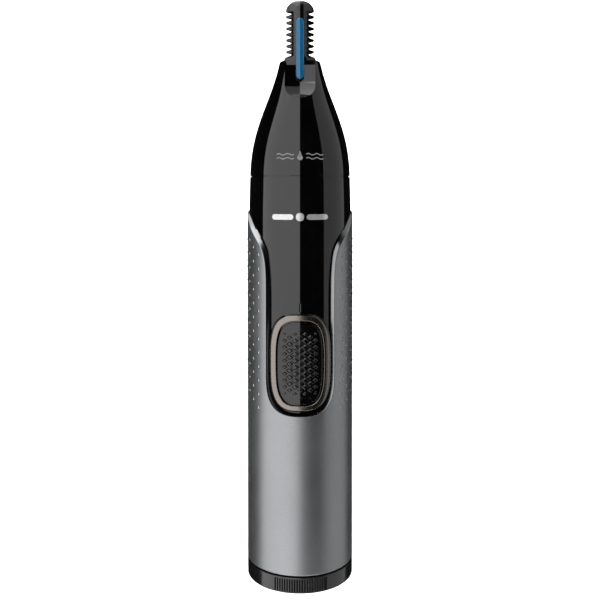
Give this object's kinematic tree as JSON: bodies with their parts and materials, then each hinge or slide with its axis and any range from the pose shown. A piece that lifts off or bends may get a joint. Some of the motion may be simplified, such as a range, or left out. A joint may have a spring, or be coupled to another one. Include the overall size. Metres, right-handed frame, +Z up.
{
  "type": "nose hair trimmer",
  "caption": "Upright battery nose hair trimmer: tapered black head with a two sided comb guard, silver grip sleeve, slide switch and twist off battery cap.",
  "frame": {"origin": "middle of the flat base, where the trimmer stands", "axes": "+Z up along the body to the tip, -Y out of the front that carries the slide switch, +X to the right of someone looking at that front"},
  "size_m": [0.0264, 0.0265, 0.1399],
  "materials": {
    "silver_lacquer": "satin metallic lacquer",
    "gloss_black": "high gloss",
    "satin_grey": "satin moulded",
    "black_rubber": "matt",
    "guard_black": "semi gloss",
    "blue_plastic": "semi gloss",
    "blade_steel": "ground",
    "white_plastic": "moulded",
    "spring_steel": "drawn wire",
    "nickel_plate": "nickel plated",
    "copper": "copper alloy",
    "magnet": "sintered ferrite",
    "cell_label": "printed sleeve, plain",
    "warm_metal": "brushed, warm grey",
    "pad_black": "gloss with raised grip pattern"
  },
  "bodies": {
    "body": {"grip_sleeve": "silver_lacquer", "body_housing": "gloss_black", "motor_can": "nickel_plate", "motor_end_cap": "satin_grey", "motor_terminal_left": "copper", "motor_terminal_right": "copper", "motor_magnet_left": "magnet", "motor_magnet_right": "magnet", "motor_bulkhead": "satin_grey", "shaft_seal": "black_rubber", "battery_cell": "cell_label", "inner_chassis": "white_plastic", "positive_contact": "nickel_plate", "negative_contact_strip": "nickel_plate", "switch_fixed_contact": "nickel_plate"},
    "cap": {"battery_cap": "satin_grey", "cap_contact_plate": "nickel_plate", "battery_spring": "spring_steel"},
    "switch": {"button_bezel": "warm_metal", "button_pad": "pad_black", "switch_slider": "white_plastic", "switch_moving_contact": "nickel_plate"},
    "rotor": {"motor_shaft": "blade_steel", "motor_armature": "copper", "drive_cam": "white_plastic"},
    "head": {"head_shell": "gloss_black", "head_seal_ring": "black_rubber", "head_bottom_plate": "white_plastic", "comb_guard": "guard_black", "guard_strip_front": "blue_plastic", "guard_strip_rear": "blue_plastic", "return_spring": "spring_steel"},
    "blade": {"moving_blade": "blade_steel", "blade_carrier": "white_plastic"}
  },
  "joints": [
    {"name": "power_slide", "type": "slide", "parent": "body", "child": "switch", "axis": [0, 0, 1], "range_m": [0, 0.003]},
    {"name": "cap_twist", "type": "hinge", "parent": "body", "child": "cap", "pos_m": [0, 0, 0], "axis": [0, 0, 1], "range_deg": [0, 40]},
    {"name": "motor_spin", "type": "hinge", "parent": "body", "child": "rotor", "pos_m": [0, 0, 0.07], "axis": [0, 0, 1], "continuous": true},
    {"name": "head_pull", "type": "slide", "parent": "body", "child": "head", "axis": [0, 0, 1], "range_m": [0, 0.006]},
    {"name": "blade_stroke", "type": "slide", "parent": "head", "child": "blade", "axis": [0, 0, 1], "range_m": [-0.0005, 0.0005], "deforming": ["return_spring"]}
  ]
}
